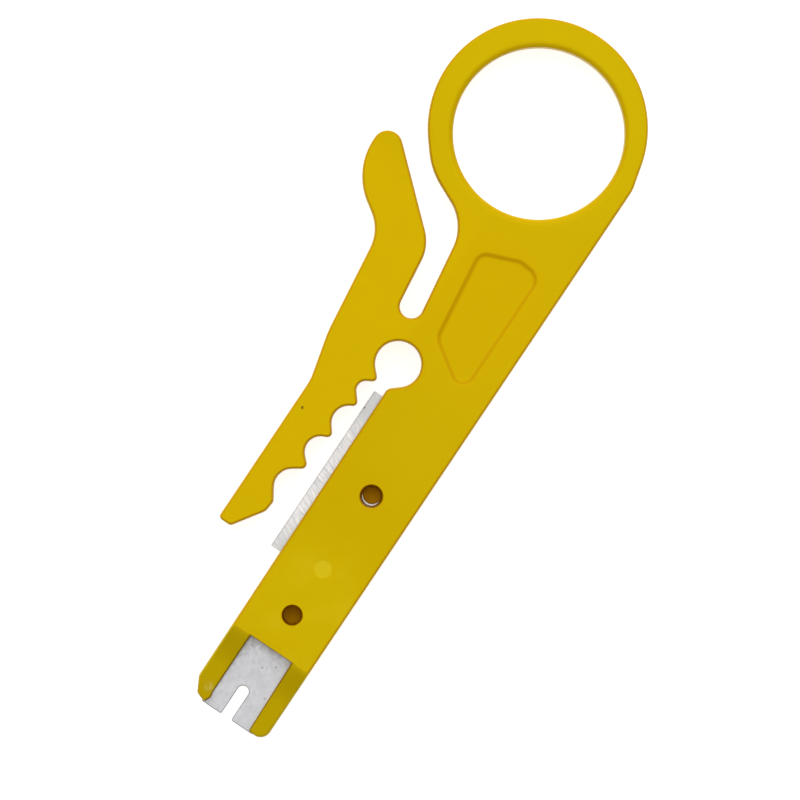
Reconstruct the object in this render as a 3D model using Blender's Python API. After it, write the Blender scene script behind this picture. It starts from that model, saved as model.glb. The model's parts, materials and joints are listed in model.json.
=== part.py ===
"""A hand punch-down tool with a toothed cable-stripping jaw and a finger ring.

One flat plastic moulding is the handle, the ring and the jaw lever, which bends on a living hinge: the web left between
a round relief hole and the end of a slot. Two steel blades are moulded in: a fork at the tip, for punching wires into
terminals, and a straight blade in the side, under the jaw, for slitting a cable's jacket.

The tool lies on its back. +X runs from the tip to the ring, +Y from the handle to the lever, and +Z is up.
Outlines are drawn in millimetres from the tip (x) and from the handle's straight edge (y). The frame empty carries that
drawing into the scene, where the tool is centred on the origin.
"""

import math

import bmesh
import bpy
from mathutils import Euler, Matrix, Vector

MM = 0.001

# Overall size
LENGTH = 90.0
WIDTH = 28.4
THICKNESS = 5.0

# Finish of the moulding
EDGE = 0.30              # rounding of the edges around both faces
GAP = 0.30               # clearance between pieces, and the width of the slits that divide the moulding
CHORD_ERROR = 0.010      # how far a faceted arc may leave the true one

# Finger ring
RING_CENTRE = Vector((77.17, 13.20))
RING_OUTER_R = 12.83
RING_HOLE_CENTRE = Vector((76.70, 12.76))
RING_INNER_R = 10.0

# Living hinge: the web between the round relief hole and the round end of the slot
RELIEF_CENTRE = Vector((45.30, 11.44))
RELIEF_R = 2.70
SLOT_END_CENTRE = Vector((51.74, 13.88))
SLOT_END_R = 1.38
HINGE_LINE = SLOT_END_CENTRE - RELIEF_CENTRE
WEB_WIDTH = HINGE_LINE.length - RELIEF_R - SLOT_END_R
PIVOT = RELIEF_CENTRE + HINGE_LINE.normalized() * (RELIEF_R + WEB_WIDTH / 2)
HINGE_ANGLE = math.atan2(HINGE_LINE.y, HINGE_LINE.x)
WEB_HALF_LENGTH = 0.90   # how far the bending web reaches to each side of the pivot

# Tip guides: the moulding is thinner on both faces where the tip enters a terminal block
RAMP_TOP_X = 9.65
RAMP_FOOT_X = 6.0
GUIDE_STEP = 1.15        # depth of the step at the foot of the ramp
GUIDE_TIP_STEP = 1.4     # and at the very tip
WINDOW_END_X = 9.55
WINDOW_LOW_Y = 2.20
WINDOW_HIGH_Y = 8.10

# Punch-down blade: a fork, its sides held in the tip guides
PUNCH_THICKNESS = 1.0
PUNCH_LENGTH = 18.3
PUNCH_LOW_Y = 1.4
PUNCH_HIGH_Y = 8.75
PUNCH_SLOT_WIDTH = 1.4
PUNCH_SLOT_Y = 5.25
PUNCH_SLOT_END_X = 4.25
PUNCH_HOLE = (14.16, 5.43)
PUNCH_HOLE_R = 1.35

# Stripping blade: a straight blade whose ground edge stands out of the handle's side
STRIP_THICKNESS = 0.5
STRIP_LOW_X = 19.5
STRIP_HIGH_X = 41.2
STRIP_LOW_Y = 2.0
STRIP_EDGE_Y = 12.0
STRIP_GRIND = 1.40       # height of the ground bevel
STRIP_EDGE_THICKNESS = 0.12
STRIP_HOLE = (31.0, 5.50)
STRIP_HOLE_R = 1.12

# Blind holes left by the mould's core pins, one through each blade's own hole
CORE_PIN_FLOOR = 1.2
PUNCH_PIN_R = 1.20
STRIP_PIN = (30.78, 5.47)
STRIP_PIN_R = 1.35

# Thumb recess in the front face
RECESS_DEPTH = 0.30

# Circles that the edge of the moulding is wrapped around, in order, as (x, y, radius). Clockwise, with the plastic on
# the right: a negative radius is an outer corner, and a positive one is a hollow.
TIP_EDGE = [
    (1.35, 1.30, -1.30),
    (0.37, WINDOW_LOW_Y - 0.32, -0.32),
    (WINDOW_END_X - 0.15, WINDOW_LOW_Y + 0.38, 0.15),
    (WINDOW_END_X - 0.15, WINDOW_HIGH_Y - 0.15, 0.15),
    (0.42, WINDOW_HIGH_Y + 0.32, -0.32),
    (0.98, 9.20, -0.60),
    (2.50, 9.80, -0.78),
]
RELIEF_EDGE = [
    (41.80, 9.95, -0.93),
    (RELIEF_CENTRE.x, RELIEF_CENTRE.y, RELIEF_R),
]
JAW_EDGE = [
    (42.40, 13.08, -0.50),
    (40.65, 12.86, 1.12),
    (38.76, 13.41, -0.52),
    (36.39, 12.37, 2.05),
    (34.10, 13.88, -0.55),
    (31.75, 13.24, 1.86),
    (29.42, 14.36, -0.60),
    (26.53, 13.72, 2.15),
    (23.70, 15.53, -0.90),
    (22.95, 15.95, -1.25),
    (19.42, 17.54, -0.60),
    (19.32, 18.43, -0.50),
]
LEVER_EDGE = [
    (37.30, 25.93, 7.00),
    (46.67, 5.59, -15.00),
    (54.14, 26.66, 5.00),
    (65.46, 20.65, -7.75),
    (65.78, 26.65, -1.75),
    (56.25, 20.86, -5.00),
]
NECK_EDGE = [
    (SLOT_END_CENTRE.x, SLOT_END_CENTRE.y, SLOT_END_R),
    (59.40, 19.15, 5.50),
    (73.55, 15.19, -9.00),
    (RING_CENTRE.x, RING_CENTRE.y, -RING_OUTER_R),
    (76.80, 4.00, -4.00),
]
MOULDING_EDGE = TIP_EDGE + RELIEF_EDGE + JAW_EDGE + LEVER_EDGE + NECK_EDGE

RECESS_EDGE = [
    (48.72, 4.62, -1.27),
    (51.45, 7.62, -1.85),
    (60.47, 9.27, -1.33),
    (61.52, 5.95, -1.55),
    (61.38, 4.95, -1.60),
]

YELLOW = (0.64, 0.43, 0.004)
STEEL = (0.62, 0.62, 0.64)


def clear_scene():
    for obj in list(bpy.data.objects):
        bpy.data.objects.remove(obj, do_unlink=True)


def collection(name):
    made = bpy.data.collections.new(name)
    bpy.context.scene.collection.children.link(made)
    return made


def empty(name, place, parent=None):
    made = bpy.data.objects.new(name, None)
    made.location = Vector(place) * MM
    made.parent = parent
    PARTS.objects.link(made)
    return made


def material(name, colour, roughness, metallic):
    made = bpy.data.materials.new(name)
    made.use_nodes = True
    shader = made.node_tree.nodes["Principled BSDF"]
    shader.inputs["Base Color"].default_value = (*colour, 1.0)
    shader.inputs["Roughness"].default_value = roughness
    shader.inputs["Metallic"].default_value = metallic
    return made


def arc(centre, radius, start, sweep):
    """Points round an arc, both ends included, close enough together to keep the chord error."""
    step = 2 * math.acos(max(0.0, 1 - CHORD_ERROR / radius))
    count = max(1, math.ceil(abs(sweep) / step))
    angles = [start + sweep * i / count for i in range(count + 1)]
    return [centre + radius * Vector((math.cos(a), math.sin(a))) for a in angles]


def wrapped(circles):
    """The closed line wrapped round the circles in turn: straight between them, and tangent to each.

    A circle with a positive radius is passed counter-clockwise, and one with a negative radius clockwise.
    """
    normals = []
    for (ax, ay, a), (bx, by, b) in zip(circles, circles[1:] + circles[:1]):
        across = Vector((bx - ax, by - ay))
        heading = math.atan2(across.y, across.x) + math.asin((a - b) / across.length)
        normals.append(heading + math.pi / 2)
    points = []
    for (x, y, signed), arriving, leaving in zip(circles, normals[-1:] + normals[:-1], normals):
        turn = (leaving - arriving) % math.tau
        if signed < 0:
            turn -= math.tau
        facing = arriving + math.pi if signed > 0 else arriving
        points += arc(Vector((x, y)), abs(signed), facing, turn)
    return points


def circle(centre, radius):
    return arc(Vector(centre), radius, 0.0, math.tau)[:-1]


def prism(name, loops, low, high, along="Z", edge=0.0):
    """A flat outline made solid: the loops, in millimetres, carried from low to high along an axis."""
    curve = bpy.data.curves.new(name, "CURVE")
    curve.dimensions = "2D"
    curve.fill_mode = "BOTH"
    curve.extrude = (abs(high - low) / 2 - edge) * MM
    curve.bevel_depth = edge * MM
    curve.bevel_resolution = 1
    curve.offset = -edge * MM
    for loop in loops:
        spline = curve.splines.new("POLY")
        spline.points.add(len(loop) - 1)
        for point, (x, y) in zip(spline.points, loop):
            point.co = (x * MM, y * MM, 0.0, 1.0)
        spline.use_cyclic_u = True
    drawn = bpy.data.objects.new(name, curve)
    turn = {"X": (90.0, 0.0, 90.0), "Y": (90.0, 0.0, 0.0), "Z": (0.0, 0.0, 0.0)}[along]
    drawn.rotation_euler = Euler([math.radians(a) for a in turn])
    drawn.location["XYZ".index(along)] = (low + high) / 2 * MM
    return meshed(drawn)


def meshed(drawn):
    """The curve object as a mesh object with its caps welded on, placed in the drawing's frame."""
    PARTS.objects.link(drawn)
    bpy.context.view_layer.update()
    seen = drawn.evaluated_get(bpy.context.evaluated_depsgraph_get())
    mesh = bpy.data.meshes.new_from_object(seen)
    mesh.transform(drawn.matrix_world)
    work = bmesh.new()
    work.from_mesh(mesh)
    bmesh.ops.remove_doubles(work, verts=work.verts, dist=0.0005 * MM)
    bmesh.ops.recalc_face_normals(work, faces=work.faces)
    work.to_mesh(mesh)
    work.free()
    name = drawn.name
    bpy.data.objects.remove(drawn)
    made = bpy.data.objects.new(name, mesh)
    made.name = name
    made.parent = FRAME
    PARTS.objects.link(made)
    return made


def box(name, low, high):
    work = bmesh.new()
    bmesh.ops.create_cube(work, size=1.0)
    low, high = Vector(low) * MM, Vector(high) * MM
    work.transform(Matrix.Translation((low + high) / 2) @ Matrix.Diagonal((*(high - low), 1.0)))
    mesh = bpy.data.meshes.new(name)
    work.to_mesh(mesh)
    work.free()
    made = bpy.data.objects.new(name, mesh)
    made.parent = FRAME
    PARTS.objects.link(made)
    return made


def cutter(obj):
    PARTS.objects.unlink(obj)
    CUTTERS.objects.link(obj)
    obj.hide_render = True
    obj.display_type = "WIRE"
    return obj


def cut(target, tool):
    """Take a cutter out of a part."""
    change = target.modifiers.new(tool.name, "BOOLEAN")
    change.operation = "DIFFERENCE"
    change.solver = "EXACT"
    change.object = cutter(tool)


def applied(obj):
    """Replace an object's mesh with the one its modifiers make."""
    bpy.context.view_layer.update()
    seen = obj.evaluated_get(bpy.context.evaluated_depsgraph_get())
    mesh = bpy.data.meshes.new_from_object(seen)
    obj.modifiers.clear()
    obj.data = mesh
    return obj


def smooth(obj):
    obj.data.shade_smooth()
    obj.data.set_sharp_from_angle(angle=math.radians(35))


def finish(obj, name, parent, surface):
    """Name a finished part, hang it on its parent and give it its material."""
    obj.name = name
    obj.data.name = name
    if parent is not obj.parent:
        obj.data.transform(Matrix.Translation(-parent.location))
        obj.parent = parent
    obj.data.materials.clear()
    obj.data.materials.append(surface)
    smooth(obj)


def moulding():
    """The handle, web and lever as they are moulded, then divided by a slit on each side of the bending web."""
    whole = prism("moulding", [wrapped(MOULDING_EDGE), circle(RING_HOLE_CENTRE, RING_INNER_R)], 0.0, THICKNESS, edge=EDGE)
    for side in (-1, 1):
        reach = (-RELIEF_R - WEB_WIDTH / 2, SLOT_END_R + WEB_WIDTH / 2)
        slit = box("hinge_slit", (reach[0], -GAP / 2, -1.0), (reach[1], GAP / 2, THICKNESS + 1.0))
        away = Vector((-math.sin(HINGE_ANGLE), math.cos(HINGE_ANGLE))) * side * (WEB_HALF_LENGTH + GAP / 2)
        slit.location = (PIVOT + away).to_3d() * MM
        slit.rotation_euler.z = HINGE_ANGLE
        cut(whole, slit)
    applied(whole)
    bpy.ops.object.select_all(action="DESELECT")
    whole.select_set(True)
    bpy.context.view_layer.objects.active = whole
    bpy.ops.mesh.separate(type="LOOSE")
    pieces = sorted(bpy.context.selected_objects, key=lambda piece: piece.dimensions.length)
    web, lever, handle = pieces
    return handle, web, lever


def tip_ramp(bottom):
    """The wedge taken off one face of the tip, so that the guides slope down to a thinner end."""
    face, out = (0.0, -1.0) if bottom else (THICKNESS, 1.0)
    profile = [
        (-1.0, face - out * GUIDE_TIP_STEP),
        (RAMP_FOOT_X, face - out * GUIDE_STEP),
        (RAMP_TOP_X, face),
        (RAMP_TOP_X + 1.0, face + out),
        (-1.0, face + out),
    ]
    return prism("tip_ramp", [profile], -1.0, 12.0, along="Y")


def pocket(name, low, high, thickness):
    """Room for a blade at mid thickness, with its clearance."""
    middle = THICKNESS / 2
    half = thickness / 2 + GAP
    return box(name, (*low, middle - half), (*high, middle + half))


def shape_handle(handle):
    cut(handle, tip_ramp(bottom=False))
    cut(handle, tip_ramp(bottom=True))
    low = (-1.0, PUNCH_LOW_Y - GAP)
    high = (PUNCH_LENGTH + GAP, PUNCH_HIGH_Y + GAP)
    cut(handle, pocket("punch_pocket", low, high, PUNCH_THICKNESS))
    low = (STRIP_LOW_X - GAP, STRIP_LOW_Y - GAP)
    high = (STRIP_HIGH_X + GAP, STRIP_EDGE_Y + 1.0)
    cut(handle, pocket("strip_pocket", low, high, STRIP_THICKNESS))
    middle, above = THICKNESS / 2, THICKNESS + 1.0
    cut(handle, prism("punch_core_pin", [circle(PUNCH_HOLE, PUNCH_PIN_R)], CORE_PIN_FLOOR, above))
    cut(handle, prism("strip_core_pin", [circle(STRIP_PIN, STRIP_PIN_R)], middle, above))
    cut(handle, prism("strip_core_pin_end", [circle(STRIP_HOLE, STRIP_HOLE_R)], CORE_PIN_FLOOR, middle + GAP / 2))
    cut(handle, prism("thumb_recess", [wrapped(RECESS_EDGE)], THICKNESS - RECESS_DEPTH, above))
    return applied(handle)


def punch_blade():
    mouth = PUNCH_SLOT_WIDTH / 2
    outline = [
        (0.30, PUNCH_LOW_Y + 0.30, -0.30),
        (0.20, PUNCH_SLOT_Y - mouth - 0.20, -0.20),
        (PUNCH_SLOT_END_X - mouth, PUNCH_SLOT_Y, mouth),
        (0.20, PUNCH_SLOT_Y + mouth + 0.20, -0.20),
        (0.30, PUNCH_HIGH_Y - 0.30, -0.30),
        (PUNCH_LENGTH - 0.60, PUNCH_HIGH_Y - 0.60, -0.60),
        (PUNCH_LENGTH - 0.60, PUNCH_LOW_Y + 0.60, -0.60),
    ]
    low = (THICKNESS - PUNCH_THICKNESS) / 2
    hole = circle(PUNCH_HOLE, PUNCH_HOLE_R)
    return prism("punch_blade", [wrapped(outline), hole], low, low + PUNCH_THICKNESS, edge=0.05)


def stripper_blade():
    outline = [
        (STRIP_LOW_X + 0.30, STRIP_LOW_Y + 0.30, -0.30),
        (STRIP_LOW_X + 0.10, STRIP_EDGE_Y - 0.10, -0.10),
        (STRIP_HIGH_X - 0.14, STRIP_EDGE_Y - 0.14, -0.14),
        (STRIP_HIGH_X - 0.30, STRIP_LOW_Y + 0.30, -0.30),
    ]
    low = (THICKNESS - STRIP_THICKNESS) / 2
    high = low + STRIP_THICKNESS
    blade = prism("stripper_blade", [wrapped(outline), circle(STRIP_HOLE, STRIP_HOLE_R)], low, high)
    ground = (STRIP_THICKNESS - STRIP_EDGE_THICKNESS) / 2
    for face, inward in ((high, -1), (low, 1)):
        slope = ground / STRIP_GRIND
        wedge = [
            (STRIP_EDGE_Y - STRIP_GRIND, face),
            (STRIP_EDGE_Y + 1.0, face + inward * slope * (STRIP_GRIND + 1.0)),
            (STRIP_EDGE_Y + 1.0, face - inward * 1.0),
            (STRIP_EDGE_Y - STRIP_GRIND, face - inward * 1.0),
        ]
        cut(blade, prism("grinding", [wedge], STRIP_LOW_X - 1.0, STRIP_HIGH_X + 1.0, along="X"))
    return applied(blade)


clear_scene()
PARTS = collection("punch_down_tool")
CUTTERS = collection("cutters")
FRAME = empty("drawing_frame", (-LENGTH / 2, -WIDTH / 2, 0.0))
JAW_PIVOT = empty("jaw_pivot", PIVOT.to_3d(), FRAME)

handle_solid, web_solid, lever_solid = moulding()
finish(shape_handle(handle_solid), "handle_body", FRAME, material("handle_plastic", YELLOW, 0.42, 0.0))
finish(web_solid, "hinge_web", JAW_PIVOT, material("web_plastic", YELLOW, 0.42, 0.0))
finish(lever_solid, "jaw_lever", JAW_PIVOT, material("lever_plastic", YELLOW, 0.42, 0.0))
finish(punch_blade(), "punch_blade", FRAME, material("punch_steel", STEEL, 0.38, 1.0))
finish(stripper_blade(), "stripper_blade", FRAME, material("strip_steel", STEEL, 0.30, 1.0))
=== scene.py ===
"""The looks of a punch-down tool: a yellow moulding with a bending jaw lever, and two steel blades set in it.

Outlines are drawn as in the CAD part: in millimetres, x from the tip and y from the handle's straight edge.
"""
import json
import math

import bmesh
import bpy
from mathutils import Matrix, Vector


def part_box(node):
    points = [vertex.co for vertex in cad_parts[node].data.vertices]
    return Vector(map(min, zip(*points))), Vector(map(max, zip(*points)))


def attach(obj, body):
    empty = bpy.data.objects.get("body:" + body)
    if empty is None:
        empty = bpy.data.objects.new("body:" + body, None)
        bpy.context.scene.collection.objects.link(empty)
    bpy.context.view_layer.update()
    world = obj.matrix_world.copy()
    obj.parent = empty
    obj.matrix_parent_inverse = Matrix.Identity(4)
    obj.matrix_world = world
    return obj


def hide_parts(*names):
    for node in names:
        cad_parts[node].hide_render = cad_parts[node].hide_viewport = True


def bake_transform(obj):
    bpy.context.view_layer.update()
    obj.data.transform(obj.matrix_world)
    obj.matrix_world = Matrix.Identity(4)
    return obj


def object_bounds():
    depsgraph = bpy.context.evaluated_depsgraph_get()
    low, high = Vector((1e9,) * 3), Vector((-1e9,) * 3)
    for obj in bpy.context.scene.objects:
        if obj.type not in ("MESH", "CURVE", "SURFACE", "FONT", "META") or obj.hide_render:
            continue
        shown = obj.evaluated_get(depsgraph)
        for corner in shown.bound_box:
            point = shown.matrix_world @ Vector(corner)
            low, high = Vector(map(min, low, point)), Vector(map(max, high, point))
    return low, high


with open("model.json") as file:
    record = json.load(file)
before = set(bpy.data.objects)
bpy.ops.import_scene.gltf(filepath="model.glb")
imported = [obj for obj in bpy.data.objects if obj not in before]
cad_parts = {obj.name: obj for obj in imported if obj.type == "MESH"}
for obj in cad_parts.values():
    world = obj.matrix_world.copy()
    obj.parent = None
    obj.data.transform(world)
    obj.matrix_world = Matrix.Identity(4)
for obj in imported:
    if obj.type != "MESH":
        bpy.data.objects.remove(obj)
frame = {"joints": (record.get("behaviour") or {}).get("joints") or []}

CAD_LOW, CAD_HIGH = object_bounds()

MM = 0.001
THICKNESS = (CAD_HIGH.z - CAD_LOW.z) / MM
MIDDLE = THICKNESS / 2
CHORD_ERROR = 0.003      # how far a faceted arc may leave the true one
WELD = 0.0002            # corners closer than this are one
CUT_SNAP = 1e-8          # in metres, how near a cutting plane a corner counts as on it
RUN_ON = 1.0             # how far a cutter goes on past the face that it opens
INTO_POCKET = 0.01       # how far a hole's cutter goes on into a blade's pocket

# Rounding of the moulding's edges
EDGE = 0.26
DRAFT = 0.04             # how much the walls lean in from the parting line to each face
PARTING = 0.02           # height of the ridge at the parting line
PARTING_REACH = 0.05     # and how far it spreads above and below that line
HOLD = 0.012             # narrow flat kept round a face, so that the rounding's shading stays off it
CORNER_STEPS = 6
SLOPE_STEPS = 10
RING_LIP = 0.34          # height of the softer rounding round the ring's hole, where the finger goes
RING_LIP_SPREAD = 2.2    # how much wider than high it is

# Finger ring, relief hole and slot end
RING_CENTRE = (77.17, 13.20)
RING_OUTER_R = 12.83
RING_HOLE_CENTRE = (76.70, 12.76)
RING_INNER_R = 10.0
RELIEF_CENTRE = (45.30, 11.44)
RELIEF_R = 2.70
SLOT_END_CENTRE = (51.74, 13.88)
SLOT_END_R = 1.38

# Living hinge
SEAM_ANGLE = math.radians(14.5)
SEAM_OFFSET = 0.95       # from the pivot down to the seam between handle and lever
SEAM_WIDTH = 0.002
SEAM_REACH = 2.5
BEND_SLICES = 12

# Tip guides
RAMP_TOP_X = 9.65
RAMP_FOOT_X = 6.0
GUIDE_STEP = 1.15
GUIDE_TIP_STEP = 1.4
RAMP_BLEND = 0.35        # how softly the ramp runs out into the guides
RAMP_SLICE = 0.25
RAMP_SLICES = 24
GUIDE_SLICES = 3         # coarser ones, 1 mm apart, over the rest of the guides
WINDOW_END_X = 9.55
WINDOW_LOW_Y = 2.20
WINDOW_HIGH_Y = 8.10
WINDOW_END_REACH = 1.0   # how far round the window's inner end its rounding is squeezed
WINDOW_END_KEPT = 0.35   # to this share of its width

# Punch-down blade
PUNCH_SLOT_WIDTH = 1.4
PUNCH_SLOT_Y = 5.25
PUNCH_SLOT_END_X = 4.25
PUNCH_HOLE = (14.16, 5.43)
PUNCH_HOLE_R = 1.35
PUNCH_EDGE = 0.09
PUNCH_CORNER = 0.30
PUNCH_MOUTH_CORNER = 0.20
PUNCH_SHANK_CORNER = 0.60

# Stripping blade
STRIP_GRIND = 1.40
STRIP_EDGE_THICKNESS = 0.10
STRIP_HOLE = (31.0, 5.50)
STRIP_HOLE_R = 1.12
STRIP_EDGE = 0.02
STRIP_HOLD = 0.006
STRIP_CORNER = 0.30
STRIP_TIP_CORNER = 0.10
STRIP_HEEL_CORNER = 0.14

# Blades' pockets and core-pin holes
FIT = 0.03               # clearance round a blade in its pocket
CORE_PIN_FLOOR = 1.2
PUNCH_PIN_R = 1.20
STRIP_PIN = (30.78, 5.47)
STRIP_PIN_R = 1.35
PIN_TAPER = 0.20         # how much narrower a pin's hole is at the blade than at the face
HOLE_LIP = 0.10
HOLE_FLOOR_R = 0.20

# Thumb recess and gate mark on the front, and ejector-pin marks, each (x, y, radius), on the back
RECESS_DEPTH = 0.14
RECESS_SLOPE = 0.85
GATE_MARK = (20.65, 5.45)
GATE_MARK_R = 1.05
GATE_MARK_DEPTH = 0.02
GATE_MARK_SLOPE = 0.24
EJECTORS = [(14.2, 5.4, 1.5), (36.5, 5.4, 1.5), (65.6, 6.4, 1.5), (68.42, 20.93, 0.7), (86.05, 5.68, 0.7)]
LEVER_EJECTORS = [(23.5, 17.0, 1.5), (43.2, 16.9, 1.5), (62.6, 23.4, 1.5)]
EJECTOR_DEPTH = 0.03
EJECTOR_SLOPE = 0.12

# Circles that an edge is wrapped around, in order, as (x, y, radius). Clockwise, with the solid on the right:
# a negative radius is an outer corner, and a positive one is a hollow.
TIP_EDGE = [
    (1.35, 1.30, -1.30),
    (0.37, WINDOW_LOW_Y - 0.32, -0.32),
    (WINDOW_END_X - 0.15, WINDOW_LOW_Y + 0.38, 0.15),
    (WINDOW_END_X - 0.15, WINDOW_HIGH_Y - 0.15, 0.15),
    (1.60, WINDOW_HIGH_Y - 0.50, 0.50),
    (0.92, WINDOW_HIGH_Y + 0.22, -0.34),
    (0.45, WINDOW_HIGH_Y + 0.42, -0.32),
    (0.98, 9.20, -0.60),
    (2.50, 9.80, -0.78),
]
RELIEF_EDGE = [
    (41.80, 9.95, -0.93),
    (*RELIEF_CENTRE, RELIEF_R),
]
JAW_EDGE = [
    (42.40, 13.08, -0.50),
    (40.65, 12.86, 1.12),
    (38.76, 13.41, -0.52),
    (36.39, 12.37, 2.05),
    (34.10, 13.88, -0.55),
    (31.75, 13.24, 1.86),
    (29.42, 14.36, -0.60),
    (26.53, 13.72, 2.15),
    (23.70, 15.53, -0.90),
    (22.95, 15.95, -1.25),
    (19.42, 17.54, -0.60),
    (19.32, 18.43, -0.50),
]
LEVER_EDGE = [
    (37.30, 25.93, 7.00),
    (46.67, 5.59, -15.00),
    (54.14, 26.66, 5.00),
    (65.46, 20.65, -7.75),
    (65.78, 26.65, -1.75),
    (56.25, 20.86, -5.00),
]
NECK_EDGE = [
    (*SLOT_END_CENTRE, SLOT_END_R),
    (59.40, 19.15, 5.50),
    (73.55, 15.19, -9.00),
    (*RING_CENTRE, -RING_OUTER_R),
    (76.80, 4.00, -4.00),
]
RECESS_EDGE = [
    (48.72, 4.62, -1.27),
    (51.45, 7.62, -1.85),
    (60.47, 9.27, -1.33),
    (61.52, 5.95, -1.55),
    (61.38, 4.95, -1.60),
]

# Colours of the plastic, of what tints it, and of the shade painted on it
YELLOW_DEEP = (0.595, 0.388, 0.0)
YELLOW_LIGHT = (0.625, 0.416, 0.001)
YELLOW_MOTTLE = (0.615, 0.41, 0.001)
YELLOW_LEMON = (0.64, 0.454, 0.001)
YELLOW_WARM = (0.665, 0.418, 0.0)
YELLOW_LEVER = (0.68, 0.44, 0.0)
YELLOW_FLOW = (0.69, 0.50, 0.01)
YELLOW_GATE = (0.70, 0.53, 0.012)
YELLOW_WORN = (0.66, 0.58, 0.20)
# painted shade for the tip's ramps and guides
GUIDE_PAINTED_SHADE = (0.77, 0.82, 1.0)
# painted shade that darkens the plastic's rounded edges and slopes
EDGE_PAINTED_SHADE = (0.84, 0.64, 0.1)
# painted shade on the steep edges round the tip's window
WINDOW_PAINTED_SHADE = (0.50, 0.36, 0.05)
# painted shade for the core-pin holes' floors and walls
HOLE_FLOOR_SHADE = (0.66, 0.255, 0.0)
HOLE_WALL_SHADE = (0.36, 0.15, 0.0)
SPECK_COLOUR = (0.10, 0.05, 0.01)

# Where the plastic's colour changes: spots are (x, y, radius, softness)
LEMON_RING = (79.0, 13.0, 14.0, 6.0)
LEMON_TIP = (16.0, 5.0, 7.0, 4.0)
WARM_RECESS = (57.0, 8.0, 9.0, 6.0)
FLOW_ROUND_GATE = (16.0, 5.0, 9.0, 4.0)
WORN_GUIDE = (1.9, 8.8, 0.5, 0.5)
SPECK = (34.9, 17.9, 0.17, 0.06)
LEVER_FROM_Y = (11.5, 13.0)
LEVER_TO_X = (69.0, 62.0)
# where painted shade darkens the edges round the tip's window, across y
WINDOW_SHADE_FROM_Y = (1.8, 1.9)
WINDOW_SHADE_TO_Y = (8.5, 8.4)

# Colours and marks of the steel blades
PUNCH_DARK = (0.545, 0.545, 0.565)
PUNCH_BRIGHT = (0.635, 0.635, 0.655)
# painted shade on the fork's rounded edges
PUNCH_EDGE_SHADE = (0.16, 0.16, 0.17)
STRIP_DARK = (0.51, 0.51, 0.53)
STRIP_BRIGHT = (0.85, 0.84, 0.83)
STRIP_DULL = (0.51, 0.53, 0.54)
STEEL_SHADE = (0.22, 0.22, 0.23)
NICK_COLOUR = (0.08, 0.08, 0.08)
PITS = [(8.6, 7.3, 0.16), (7.1, 4.9, 0.12), (8.0, 3.6, 0.12), (4.2, 2.65, 0.12)]
PIT_SOFTNESS = 0.08
DULL_FROM_X = (34.0, 40.0)
DULL_TO_X = (24.0, 20.0)
CUTTING_EDGE_Y = (11.88, 11.94)
NICK = (38.9, 11.95, 0.14, 0.07)

# Camera and studio
VIEW_ANGLE = math.radians(56.2)     # the tool's length in the picture, above the horizontal
VIEW_CENTRE = (41.95, 8.94)         # the point of the drawing under the camera
VIEW_HEIGHT = 1.10                  # in metres
PICTURE_SCALE = 8.6                 # picture pixels per millimetre of the tool's face
PICTURE_SIDE = 800
HORIZON = 0.92                      # brightness of the pale room at the floor's edge
ZENITH = 0.28                       # and high up
ZENITH_RISE = 0.30                  # sine of the angle above the horizon where it gets no dimmer
FLOOR_HALF = 3.0                    # half a side of the floor, in metres
FLOOR_GAP = 0.00005                 # between the tool's back and the floor, in metres


# ---------------------------------------------------------------- drawing

def placed(point, height):
    """A point of the drawing at a height, in the frame."""
    return Vector((CAD_LOW.x + point[0] * MM, CAD_LOW.y + point[1] * MM, CAD_LOW.z + height * MM))


def in_drawing(position):
    """A place in the frame, in the drawing's millimetres."""
    return (Vector(position) - CAD_LOW) / MM


PIVOT = in_drawing(frame["joints"][0]["pos_m"]).to_2d()
PUNCH_LOW, PUNCH_HIGH = [in_drawing(corner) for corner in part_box("punch_blade")]
STRIP_LOW, STRIP_HIGH = [in_drawing(corner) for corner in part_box("stripper_blade")]


def arc(centre, signed, start, sweep):
    """Points round an arc, with the direction that faces out of the solid at each."""
    radius = abs(signed)
    step = 2 * math.acos(max(0.0, 1 - CHORD_ERROR / radius))
    count = max(1, math.ceil(abs(sweep) / step))
    made = []
    for i in range(count + 1):
        angle = start + sweep * i / count
        ray = Vector((math.cos(angle), math.sin(angle)))
        made.append((Vector(centre) + radius * ray, ray if signed < 0 else -ray))
    return made


def wrapped(circles):
    """The closed line wrapped round the circles in turn: straight between them, and tangent to each."""
    normals = []
    for (ax, ay, a), (bx, by, b) in zip(circles, circles[1:] + circles[:1]):
        across = Vector((bx - ax, by - ay))
        heading = math.atan2(across.y, across.x) + math.asin((a - b) / across.length)
        normals.append(heading + math.pi / 2)
    points = []
    for (x, y, signed), arriving, leaving in zip(circles, normals[-1:] + normals[:-1], normals):
        turn = (leaving - arriving) % math.tau
        if signed < 0:
            turn -= math.tau
        facing = arriving + math.pi if signed > 0 else arriving
        points += arc((x, y), signed, facing, turn)
    return points


def hole(centre, radius):
    return arc(centre, radius, 0.0, math.tau)[:-1]


def corner(x, y, radius, right, up):
    """The circle that rounds an outer corner at (x, y); right and up are 1 or -1, towards the solid."""
    return (x + right * radius, y + up * radius, -radius)


def quarter_turn():
    """Angles from 0 to a right angle, for a rounded edge."""
    return [math.pi / 2 * i / CORNER_STEPS for i in range(CORNER_STEPS + 1)]


# ---------------------------------------------------------------- solids

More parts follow.
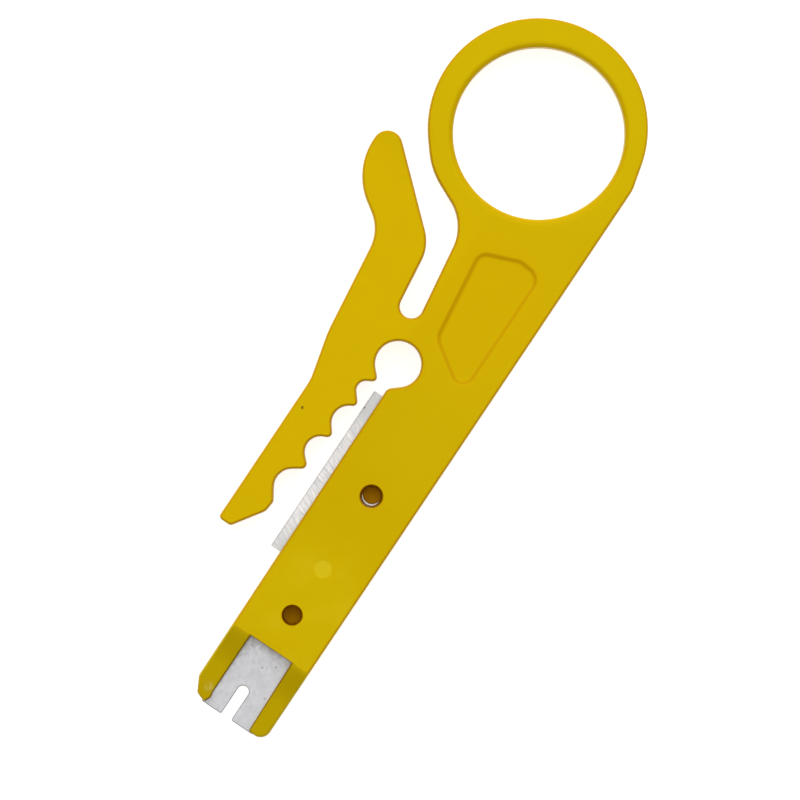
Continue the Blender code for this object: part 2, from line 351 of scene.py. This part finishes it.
def rim(radius, low, high, draft=0.0, parting=0.0, hold=HOLD, spread=1.0):
    """The side of a slab as (inset, height), from its bottom face round both edges to its top face.

    Each edge is rounded to a height of radius, and to a width of that times spread.
    """
    width = radius * spread
    middle = (low + high) / 2
    made = [(draft + width + hold, low)]
    made += [(draft + width * (1 - math.sin(a)), low + radius * (1 - math.cos(a))) for a in quarter_turn()]
    if parting:
        made += [(0.0, middle - PARTING_REACH), (-parting, middle), (0.0, middle + PARTING_REACH)]
    made += [(draft + width * (1 - math.cos(a)), high - radius * (1 - math.sin(a))) for a in quarter_turn()]
    return made + [(draft + width + hold, high)]


def slope(width, low, high):
    """An S-shaped slope as (inset, height), from a floor up to a face."""
    made = []
    for i in range(SLOPE_STEPS + 1):
        share = i / SLOPE_STEPS
        made.append((width * (share - 0.5), low + (high - low) * share * share * (3 - 2 * share)))
    return made


def slab_mesh(loops, *profiles):
    """A solid whose loops stand in rings at their profile's insets and heights, filled on both faces.

    There is one profile for each loop, or one for them all.
    """
    work = bmesh.new()
    rims = [[], []]
    for loop, profile in zip(loops, profiles if len(profiles) > 1 else profiles * len(loops)):
        rings = []
        for inset, height in profile:
            rings.append([work.verts.new(placed(point - out * inset, height)) for point, out in loop])
        for lower, upper in zip(rings, rings[1:]):
            for i in range(len(loop)):
                work.faces.new((lower[i - 1], lower[i], upper[i], upper[i - 1]))
        for rim_edges, ring in zip(rims, (rings[0], rings[-1])):
            rim_edges += [work.edges.get((ring[i - 1], ring[i])) for i in range(len(ring))]
    for rim_edges in rims:
        bmesh.ops.triangle_fill(work, edges=rim_edges, use_beauty=True)
    bmesh.ops.remove_doubles(work, verts=work.verts, dist=WELD * MM)
    bmesh.ops.recalc_face_normals(work, faces=work.faces)
    return work


def sliced(work, normal, places):
    """Cut the faces along planes through places of the frame, so that they can bend there."""
    for place in places:
        geometry = work.verts[:] + work.edges[:] + work.faces[:]
        bmesh.ops.bisect_plane(work, geom=geometry, dist=CUT_SNAP, plane_co=place, plane_no=normal)


def solid(name, work):
    mesh = bpy.data.meshes.new(name)
    work.to_mesh(mesh)
    work.free()
    made = bpy.data.objects.new(name, mesh)
    bpy.context.scene.collection.objects.link(made)
    return made


def block(name, low, high):
    """A plain box between two corners of the drawing, used as a cutter."""
    work = bmesh.new()
    bmesh.ops.create_cube(work, size=1.0)
    low, high = placed(low, low[2]), placed(high, high[2])
    for vert in work.verts:
        for k in range(3):
            vert.co[k] = high[k] if vert.co[k] > 0 else low[k]
    return solid(name, work)


def carved(target, cutters):
    """The target's mesh with the cutters taken out of it; the cutters are removed."""
    for tool in cutters:
        change = target.modifiers.new(tool.name, "BOOLEAN")
        change.operation = "DIFFERENCE"
        change.solver = "EXACT"
        change.object = tool
    bpy.context.view_layer.update()
    seen = target.evaluated_get(bpy.context.evaluated_depsgraph_get())
    mesh = bpy.data.meshes.new_from_object(seen)
    target.modifiers.clear()
    target.data = mesh
    for tool in cutters:
        bpy.data.objects.remove(tool)
    return target


def dressed(obj, material, sharp=40.0):
    """Give a finished piece its material, and shading that keeps large faces flat."""
    obj.data.materials.clear()
    obj.data.materials.append(material)
    obj.data.shade_smooth()
    obj.data.set_sharp_from_angle(angle=math.radians(sharp))
    even = obj.modifiers.new("even_shading", "WEIGHTED_NORMAL")
    even.mode = "FACE_AREA"
    even.keep_sharp = True
    return obj


# ---------------------------------------------------------------- moulding

def ramp_depth(x):
    """How far each face of the tip lies below the handle's, from the ramp's top to the tip."""
    steep = GUIDE_STEP * (RAMP_TOP_X - x) / (RAMP_TOP_X - RAMP_FOOT_X)
    gentle = GUIDE_STEP + (GUIDE_TIP_STEP - GUIDE_STEP) * (RAMP_FOOT_X - x) / RAMP_FOOT_X
    near = max(RAMP_BLEND - abs(steep - gentle), 0.0) / RAMP_BLEND
    return max(0.0, min(steep, gentle) - near * near * RAMP_BLEND / 4)


def moulding():
    """The handle and the lever, cut apart by a hairline seam across the living hinge."""
    outline = wrapped(TIP_EDGE + RELIEF_EDGE + JAW_EDGE + LEVER_EDGE + NECK_EDGE)
    ring_hole = hole(RING_HOLE_CENTRE, RING_INNER_R)
    edges = rim(EDGE, 0.0, THICKNESS, DRAFT, PARTING)
    lips = rim(RING_LIP, 0.0, THICKNESS, DRAFT, PARTING, spread=RING_LIP_SPREAD)
    work = slab_mesh([outline, ring_hole], edges, lips)
    for vert in work.verts:
        x, y, _ = in_drawing(vert.co)
        beside = WINDOW_LOW_Y - WINDOW_END_REACH < y < WINDOW_HIGH_Y + WINDOW_END_REACH
        if beside and 0.0 < x - WINDOW_END_X < WINDOW_END_REACH:
            vert.co.x -= (x - WINDOW_END_X) * (1 - WINDOW_END_KEPT) * MM
    slices = [RAMP_TOP_X - RAMP_SLICE * i for i in range(RAMP_SLICES)]
    slices += [RAMP_TOP_X - RAMP_SLICE * RAMP_SLICES - i for i in range(GUIDE_SLICES)]
    sliced(work, Vector((1.0, 0.0, 0.0)), [placed((x, 0.0), 0.0) for x in slices])
    for vert in work.verts:
        x, _, z = in_drawing(vert.co)
        if x < RAMP_TOP_X and abs(z - MIDDLE) > MIDDLE / 2:
            vert.co.z += math.copysign(ramp_depth(x), MIDDLE - z) * MM
    whole = solid("moulding", work)
    carved(whole, [seam()])
    bpy.ops.object.select_all(action="DESELECT")
    whole.select_set(True)
    bpy.context.view_layer.objects.active = whole
    bpy.ops.mesh.separate(type="LOOSE")
    lever, handle = sorted(bpy.context.selected_objects, key=lambda piece: piece.dimensions.length)
    return handle, lever


def seam():
    """The cutter for the hairline, which runs from the relief hole to the slot's end."""
    low = (-SEAM_REACH, -SEAM_WIDTH / 2, -RUN_ON)
    high = (SEAM_REACH, SEAM_WIDTH / 2, THICKNESS + RUN_ON)
    cut = block("seam", low, high)
    origin = placed((0.0, 0.0), 0.0)
    for vert in cut.data.vertices:
        vert.co -= origin
    cut.rotation_euler.z = SEAM_ANGLE
    cut.location = placed(PIVOT, 0.0) - half_web()
    return cut


def half_web():
    """The step from the pivot to the edge of the bending web, on the lever's side."""
    return Vector((-math.sin(SEAM_ANGLE), math.cos(SEAM_ANGLE), 0.0)) * SEAM_OFFSET * MM


def pin_hole(name, centre, radius, floor, lip, taper=0.0):
    """A cutter for a blind hole with a rounded floor, and walls that lean in downwards.

    It comes out of the front face with a slightly rounded lip, or without a lip only into a blade's pocket.
    """
    profile = []
    for a in quarter_turn():
        inset = HOLE_FLOOR_R * (math.sin(a) - 1) - taper
        profile.append((inset, floor + HOLE_FLOOR_R * (1 - math.cos(a))))
    if lip:
        profile += [(lip * (1 - math.cos(a)), THICKNESS - lip * (1 - math.sin(a))) for a in quarter_turn()]
        profile.append((lip, THICKNESS + RUN_ON / 2))
    else:
        profile.append((0.0, MIDDLE + INTO_POCKET))
    return solid(name, slab_mesh([hole(centre, radius)], profile))


def sunk(name, loop, width, depth, back=False):
    """A cutter for a shallow sunk panel with soft sloping walls, in the front face or the back."""
    profile = slope(width, THICKNESS - depth, THICKNESS) + [(width / 2, THICKNESS + RUN_ON / 2)]
    if back:
        profile = [(inset, THICKNESS - height) for inset, height in profile]
    return solid(name, slab_mesh([loop], profile))


def ejector_marks(target, marks):
    """Faint round marks that the mould's ejector pins leave on the back."""
    cutters = []
    for x, y, radius in marks:
        loop = hole((x, y), radius)
        cutters.append(sunk("ejector_mark", loop, EJECTOR_SLOPE, EJECTOR_DEPTH, back=True))
    return carved(target, cutters)


def shaped_handle(handle):
    """The handle with the blades' pockets, core-pin holes, thumb recess and gate mark cut in it."""
    past_tip = Vector((RUN_ON, FIT, FIT))
    past_side = Vector((FIT, RUN_ON, FIT))
    loose = Vector((FIT, FIT, FIT))
    recess_loop = [(point, -out) for point, out in wrapped(RECESS_EDGE)]
    strip_pin_floor = STRIP_HIGH.z - 2 * INTO_POCKET
    cutters = [
        block("punch_pocket", PUNCH_LOW - past_tip, PUNCH_HIGH + loose),
        block("strip_pocket", STRIP_LOW - loose, STRIP_HIGH + past_side),
        pin_hole("punch_core_pin", PUNCH_HOLE, PUNCH_PIN_R, CORE_PIN_FLOOR, HOLE_LIP, PIN_TAPER / 2),
        pin_hole("strip_core_pin", STRIP_PIN, STRIP_PIN_R, strip_pin_floor, HOLE_LIP, PIN_TAPER),
        pin_hole("strip_core_pin_end", STRIP_HOLE, STRIP_HOLE_R, CORE_PIN_FLOOR, 0.0),
        sunk("thumb_recess", recess_loop, RECESS_SLOPE, RECESS_DEPTH),
        sunk("gate_mark", hole(GATE_MARK, GATE_MARK_R), GATE_MARK_SLOPE, GATE_MARK_DEPTH),
    ]
    return carved(handle, cutters)


def bendable(lever, start, end):
    """Slice the lever between two places in the frame, in small steps."""
    work = bmesh.new()
    work.from_mesh(lever.data)
    steps = [start + (end - start) * i / BEND_SLICES for i in range(1, BEND_SLICES)]
    sliced(work, (end - start).normalized(), steps)
    work.to_mesh(lever.data)
    work.free()


# ---------------------------------------------------------------- blades

def punch_blade():
    """The fork: a stamped strip with a slot for the wire, and softened edges."""
    mouth = PUNCH_SLOT_WIDTH / 2
    low, high = PUNCH_LOW, PUNCH_HIGH
    outline = [
        corner(low.x, low.y, PUNCH_CORNER, 1, 1),
        corner(low.x, PUNCH_SLOT_Y - mouth, PUNCH_MOUTH_CORNER, 1, -1),
        (PUNCH_SLOT_END_X - mouth, PUNCH_SLOT_Y, mouth),
        corner(low.x, PUNCH_SLOT_Y + mouth, PUNCH_MOUTH_CORNER, 1, 1),
        corner(low.x, high.y, PUNCH_CORNER, 1, -1),
        corner(high.x, high.y, PUNCH_SHANK_CORNER, -1, -1),
        corner(high.x, low.y, PUNCH_SHANK_CORNER, -1, 1),
    ]
    loops = [wrapped(outline), hole(PUNCH_HOLE, PUNCH_HOLE_R)]
    return solid("punch_fork", slab_mesh(loops, rim(PUNCH_EDGE, low.z, high.z)))


def stripper_blade():
    """The side blade, thinned by grinding towards its cutting edge."""
    low, high = STRIP_LOW, STRIP_HIGH
    outline = [
        corner(low.x, low.y, STRIP_CORNER, 1, 1),
        corner(low.x, high.y, STRIP_TIP_CORNER, 1, -1),
        corner(high.x, high.y, STRIP_HEEL_CORNER, -1, -1),
        corner(high.x, low.y, STRIP_CORNER, -1, 1),
    ]
    loops = [wrapped(outline), hole(STRIP_HOLE, STRIP_HOLE_R)]
    work = slab_mesh(loops, rim(STRIP_EDGE, low.z, high.z, hold=STRIP_HOLD))
    start = high.y - STRIP_GRIND
    sliced(work, Vector((0.0, 1.0, 0.0)), [placed((0.0, start), 0.0)])
    middle = (low.z + high.z) / 2
    thinning = 1 - STRIP_EDGE_THICKNESS / (high.z - low.z)
    for vert in work.verts:
        _, y, z = in_drawing(vert.co)
        share = max(0.0, (y - start) / STRIP_GRIND)
        vert.co.z -= (z - middle) * thinning * share * MM
    return solid("slitting_blade", work)


# ---------------------------------------------------------------- materials

# The Mix node's sockets for colours, by number because others have the same names
MIX_A, MIX_B, MIX_RESULT = 6, 7, 2


class Surface:
    """A Principled material with short calls for the nodes that feed it."""

    def __init__(self, name, settings):
        self.material = bpy.data.materials.new(name)
        self.material.use_nodes = True
        self.tree = self.material.node_tree
        self.shader = self.tree.nodes["Principled BSDF"]
        source = self.tree.nodes.new("ShaderNodeTexCoord")
        self.place = source.outputs["Object"]
        self.facing = source.outputs["Normal"]
        for socket, value in settings.items():
            self.shader.inputs[socket].default_value = value

    def node(self, kind, inputs, **settings):
        made = self.tree.nodes.new("ShaderNode" + kind)
        for key, value in settings.items():
            setattr(made, key, value)
        for key, value in inputs.items():
            socket = made.inputs[key]
            if isinstance(value, bpy.types.NodeSocket):
                self.tree.links.new(value, socket)
            else:
                socket.default_value = value
        return made

    def mapped(self, scale, turn=0.0):
        """The place turned about z, then scaled, for marks that are drawn out in one direction."""
        inputs = {"Vector": self.place, "Scale": [1 / share for share in scale], "Rotation": (0.0, 0.0, turn)}
        return self.node("Mapping", inputs, vector_type="TEXTURE").outputs["Vector"]

    def noise(self, scale, detail=3.0, vector=None, rough=0.5):
        inputs = {"Vector": vector or self.place, "Scale": scale, "Detail": detail, "Roughness": rough}
        return self.node("TexNoise", inputs).outputs["Fac"]

    def ranged(self, value, low, high, to_low=0.0, to_high=1.0, smooth=False):
        inputs = {"Value": value, "From Min": low, "From Max": high, "To Min": to_low, "To Max": to_high}
        kind = "SMOOTHSTEP" if smooth else "LINEAR"
        return self.node("MapRange", inputs, interpolation_type=kind).outputs["Result"]

    def maths(self, operation, a, b=0.0):
        return self.node("Math", {0: a, 1: b}, operation=operation).outputs[0]

    def mixed(self, share, a, b, blend="MIX"):
        made = self.node("Mix", {"Factor": share}, data_type="RGBA", blend_type=blend)
        for socket, value in ((made.inputs[MIX_A], a), (made.inputs[MIX_B], b)):
            if isinstance(value, bpy.types.NodeSocket):
                self.tree.links.new(value, socket)
            else:
                socket.default_value = (*value, 1.0)
        return made.outputs[MIX_RESULT]

    def spot(self, x, y, radius, soft):
        """1 inside a small round spot of the drawing, and 0 outside."""
        centre = placed((x, y), THICKNESS)
        flat = self.node("VectorMath", {0: self.place, 1: (1.0, 1.0, 0.0)}, operation="MULTIPLY").outputs[0]
        inputs = {0: flat, 1: (centre.x, centre.y, 0.0)}
        distance = self.node("VectorMath", inputs, operation="DISTANCE").outputs["Value"]
        return self.ranged(distance, (radius + soft) * MM, (radius - soft) * MM, smooth=True)

    def along(self, axis, start, end):
        """0 at one x, y or z of the drawing, changing to 1 at another."""
        value = self.node("SeparateXYZ", {"Vector": self.place}).outputs[axis.upper()]
        start, end = [getattr(placed((at, at), at), axis) for at in (start, end)]
        return self.ranged(value, start, end, smooth=True)

    def all_of(self, *shares):
        product = shares[0]
        for share in shares[1:]:
            product = self.maths("MULTIPLY", product, share)
        return product

    def tinted(self, colour, tint, amount, blend="MIX"):
        """The colour mixed with a tint by an amount, which is a product of shares."""
        return self.mixed(self.all_of(*amount), colour, tint, blend)

    def slanting(self, flat=0.998, steep=0.965):
        """1 on rounded edges and slopes, and 0 on walls and on faces nearer level than a limit."""
        up = self.maths("ABSOLUTE", self.node("SeparateXYZ", {"Vector": self.facing}).outputs["Z"])
        off_face = self.ranged(up, flat, steep, smooth=True)
        off_wall = self.ranged(up, 0.05, 0.35, smooth=True)
        return self.all_of(off_face, off_wall)

    def bump(self, height, depth, after=None):
        inputs = {"Height": height, "Distance": depth, "Strength": 1.0}
        if after:
            inputs["Normal"] = after
        return self.node("Bump", inputs).outputs["Normal"]

    def finish(self, colour, roughness, normal):
        self.tree.links.new(colour, self.shader.inputs["Base Color"])
        self.tree.links.new(roughness, self.shader.inputs["Roughness"])
        self.tree.links.new(normal, self.shader.inputs["Normal"])
        return self.material


def yellow_plastic():
    """Satin yellow, with the drifts, flow marks and wear that the photograph shows, and painted shade on
    rounded edges, slopes, the tip's guides and window edges, and in the core-pin holes.
    """
    s = Surface("yellow_plastic", {"Metallic": 0.0, "Specular Tint": (1.0, 0.82, 0.02, 1.0)})
    front = s.along("z", MIDDLE, MIDDLE + 0.5)
    body = s.along("x", RAMP_TOP_X - 0.1, RAMP_TOP_X + 0.1)

    drift = s.ranged(s.noise(38.0, 2.0), 0.35, 0.65)
    colour = s.mixed(drift, YELLOW_DEEP, YELLOW_LIGHT)
    lemon = s.maths("MAXIMUM", s.spot(*LEMON_RING), s.spot(*LEMON_TIP))
    colour = s.tinted(colour, YELLOW_LEMON, (lemon, 0.8))
    colour = s.tinted(colour, YELLOW_WARM, (s.spot(*WARM_RECESS), 0.8))
    on_lever = s.all_of(s.along("y", *LEVER_FROM_Y), s.along("x", *LEVER_TO_X))
    colour = s.tinted(colour, YELLOW_LEVER, (on_lever, 0.8))
    streaks = s.ranged(s.noise(260.0, 3.0), 0.48, 0.68, smooth=True)
    colour = s.tinted(colour, YELLOW_FLOW, (s.spot(*FLOW_ROUND_GATE), streaks, front, 0.30))
    mottle = s.ranged(s.noise(420.0, 4.0), 0.3, 0.7)
    colour = s.tinted(colour, YELLOW_MOTTLE, (mottle, 0.4))
    colour = s.tinted(colour, YELLOW_GATE, (s.spot(*GATE_MARK, GATE_MARK_R, 0.15), front, 0.75))
    # Painted shade that darkens the tip's ramps and guides
    guides = s.along("x", RAMP_TOP_X + 0.1, RAMP_TOP_X - 0.9)
    colour = s.tinted(colour, GUIDE_PAINTED_SHADE, (guides, 0.8), "MULTIPLY")
    patches = s.ranged(s.noise(2200.0, 3.0), 0.4, 0.6)
    colour = s.tinted(colour, YELLOW_WORN, (s.spot(*WORN_GUIDE), patches, front, 0.40))

    # Painted shade on rounded edges and slopes, weaker on the ring hole's wide lip
    round_hole = s.spot(*RING_HOLE_CENTRE, RING_INNER_R + 0.9, 0.1)
    edge_shade_strength = s.ranged(round_hole, 0.0, 1.0, 0.9, 0.35)
    colour = s.tinted(colour, EDGE_PAINTED_SHADE, (s.slanting(), body, edge_shade_strength), "MULTIPLY")
    # Painted shade on the steep edges round the tip's window
    between_guides = s.all_of(s.along("y", *WINDOW_SHADE_FROM_Y), s.along("y", *WINDOW_SHADE_TO_Y))
    on_tip = s.maths("SUBTRACT", 1.0, body)
    colour = s.tinted(colour, WINDOW_PAINTED_SHADE, (s.slanting(0.94, 0.80), on_tip, between_guides), "MULTIPLY")

    # Painted shade deep in the core-pin holes: orange-brown on the floors, dark brown up the walls
    punch_pin = s.spot(*PUNCH_HOLE, PUNCH_PIN_R + HOLE_LIP, 0.06)
    pins = s.maths("MAXIMUM", punch_pin, s.spot(*STRIP_PIN, STRIP_PIN_R + HOLE_LIP, 0.06))
    up_wall = s.along("z", CORE_PIN_FLOOR + 0.1, CORE_PIN_FLOOR + 0.6)
    above_back = s.along("z", 0.5, 0.9)
    below_face = s.along("z", THICKNESS, THICKNESS - 0.4)
    hole_shade = s.mixed(up_wall, HOLE_FLOOR_SHADE, HOLE_WALL_SHADE)
    colour = s.tinted(colour, hole_shade, (pins, above_back, below_face))
    colour = s.tinted(colour, SPECK_COLOUR, (s.spot(*SPECK), front, 0.85))

    scratches = s.ranged(s.noise(1.0, 2.0, s.mapped((700.0, 9000.0, 700.0), 0.5)), 0.70, 0.74)
    roughness = s.ranged(s.noise(900.0, 4.0), 0.3, 0.7, 0.39, 0.45)
    roughness = s.maths("ADD", roughness, s.maths("MULTIPLY", scratches, 0.10))
    waves = s.bump(s.noise(150.0, 1.0), 0.000008)
    grain = s.bump(s.noise(7000.0, 3.0), 0.0000025, waves)
    return s.finish(colour, roughness, grain)


def punch_steel():
    """Dull tumbled steel, pitted, with painted shade on its rounded edges."""
    s = Surface("punch_steel", {"Metallic": 1.0})
    cloud = s.ranged(s.noise(700.0, 5.0, rough=0.65), 0.3, 0.7)
    colour = s.mixed(cloud, PUNCH_DARK, PUNCH_BRIGHT)
    cells = s.node("TexVoronoi", {"Vector": s.place, "Scale": 1500.0, "Randomness": 1.0})
    size = s.maths("MULTIPLY", s.noise(900.0, 2.0), 0.22)
    pits = s.ranged(cells.outputs["Distance"], size, 0.02, smooth=True)
    for x, y, radius in PITS:
        pits = s.maths("MAXIMUM", pits, s.spot(x, y, radius, PIT_SOFTNESS))
    colour = s.tinted(colour, STEEL_SHADE, (pits, 0.45))
    # Painted shade on the fork's rounded edges
    colour = s.tinted(colour, PUNCH_EDGE_SHADE, (s.slanting(), 0.7))
    roughness = s.ranged(s.noise(2600.0, 4.0), 0.3, 0.7, 0.44, 0.58)
    hollow = s.bump(s.maths("SUBTRACT", 1.0, pits), 0.000012)
    grain = s.bump(s.noise(9000.0, 4.0), 0.0000025, hollow)
    return s.finish(colour, roughness, grain)


def strip_steel():
    """Ground steel with slanting streaks, duller at both ends, and a nick in its dark cutting edge."""
    s = Surface("strip_steel", {"Metallic": 1.0})
    streak_field = s.noise(1.0, 4.0, s.mapped((3600.0, 700.0, 700.0), -0.45), rough=0.6)
    streaks = s.ranged(streak_field, 0.35, 0.65)
    colour = s.mixed(streaks, STRIP_DARK, STRIP_BRIGHT)
    dull_tip = s.maths("MULTIPLY", s.along("x", *DULL_TO_X), 0.7)
    dull = s.maths("MAXIMUM", s.along("x", *DULL_FROM_X), dull_tip)
    colour = s.tinted(colour, STRIP_DULL, (dull, 0.65))
    colour = s.tinted(colour, STEEL_SHADE, (s.along("y", *CUTTING_EDGE_Y), 0.6))
    colour = s.tinted(colour, NICK_COLOUR, (s.spot(*NICK), 0.8))
    roughness = s.ranged(streaks, 0.0, 1.0, 0.46, 0.58)
    grind = s.bump(s.noise(1.0, 3.0, s.mapped((16000.0, 900.0, 900.0), 0.2)), 0.000001)
    return s.finish(colour, roughness, grind)


def floor_surface():
    settings = {
        "Base Color": (0.45, 0.45, 0.45, 1.0),
        "Roughness": 0.8,
        "Specular IOR Level": 0.2,
        "Emission Color": (1.0, 1.0, 1.0, 1.0),
        "Emission Strength": 0.82,
    }
    return Surface("pale_floor", settings).material


# ---------------------------------------------------------------- studio

def camera():
    """Straight down at the front face, with the tool's length at the photograph's angle."""
    data = bpy.data.cameras.new("camera")
    data.sensor_width = 36.0
    distance = VIEW_HEIGHT - (CAD_HIGH.z - CAD_LOW.z)
    data.lens = data.sensor_width * distance * PICTURE_SCALE / (PICTURE_SIDE * MM)
    made = bpy.data.objects.new("camera", data)
    made.location = placed(VIEW_CENTRE, VIEW_HEIGHT / MM)
    made.rotation_euler.z = -VIEW_ANGLE
    bpy.context.scene.collection.objects.link(made)
    bpy.context.scene.camera = made


def lamp(name, bearing, elevation, distance, side, watts):
    """A square soft box aimed at the tool; its bearing is counted anticlockwise from the picture's right."""
    data = bpy.data.lights.new(name, "AREA")
    data.shape = "SQUARE"
    data.size = side
    data.energy = watts
    made = bpy.data.objects.new(name, data)
    turn = math.radians(bearing) - VIEW_ANGLE
    rise = math.radians(elevation)
    out = Vector((math.cos(turn) * math.cos(rise), math.sin(turn) * math.cos(rise), math.sin(rise)))
    made.location = placed(VIEW_CENTRE, 0.0) + out * distance
    made.rotation_euler = out.to_track_quat("Z", "Y").to_euler()
    bpy.context.scene.collection.objects.link(made)


def studio():
    """A pale room and floor, a large soft key lamp from the picture's top, and a small one overhead."""
    world = bpy.data.worlds.new("studio")
    world.use_nodes = True
    tree = world.node_tree
    rise = tree.nodes.new("ShaderNodeSeparateXYZ")
    tree.links.new(tree.nodes.new("ShaderNodeTexCoord").outputs["Generated"], rise.inputs["Vector"])
    fade = tree.nodes.new("ShaderNodeMapRange")
    fade.interpolation_type = "SMOOTHSTEP"
    for socket, value in (("From Max", ZENITH_RISE), ("To Min", HORIZON), ("To Max", ZENITH)):
        fade.inputs[socket].default_value = value
    tree.links.new(rise.outputs["Z"], fade.inputs["Value"])
    tree.links.new(fade.outputs["Result"], tree.nodes["Background"].inputs["Strength"])
    tree.nodes["Background"].inputs["Color"].default_value = (1.0, 1.0, 1.0, 1.0)
    bpy.context.scene.world = world
    bpy.context.scene.view_settings.view_transform = "Standard"
    lamp("key", bearing=88.0, elevation=38.0, distance=0.9, side=1.7, watts=14.5)
    lamp("overhead", bearing=90.0, elevation=88.0, distance=0.85, side=0.5, watts=1.0)
    work = bmesh.new()
    bmesh.ops.create_grid(work, x_segments=8, y_segments=8, size=FLOOR_HALF)
    ground = solid("floor", work)
    ground.location.z = CAD_LOW.z - FLOOR_GAP
    ground.data.materials.append(floor_surface())


# ---------------------------------------------------------------- the tool

camera()
studio()

plastic = yellow_plastic()
handle, lever = moulding()
shaped_handle(handle)
ejector_marks(handle, EJECTORS)
handle.name = "moulded_handle"
dressed(handle, plastic)
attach(handle, "body")
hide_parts("handle_body")

ejector_marks(lever, LEVER_EJECTORS)
lever.name = "moulded_lever"
dressed(lever, plastic)
across = half_web()
hinge_place = placed(PIVOT, MIDDLE)
bendable(lever, hinge_place - across, hinge_place + across)
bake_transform(lever)
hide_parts("jaw_lever", "hinge_web")

fork = dressed(punch_blade(), punch_steel())
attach(fork, "body")
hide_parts("punch_blade")

slitter = dressed(stripper_blade(), strip_steel(), sharp=12.0)
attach(slitter, "body")
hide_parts("stripper_blade")
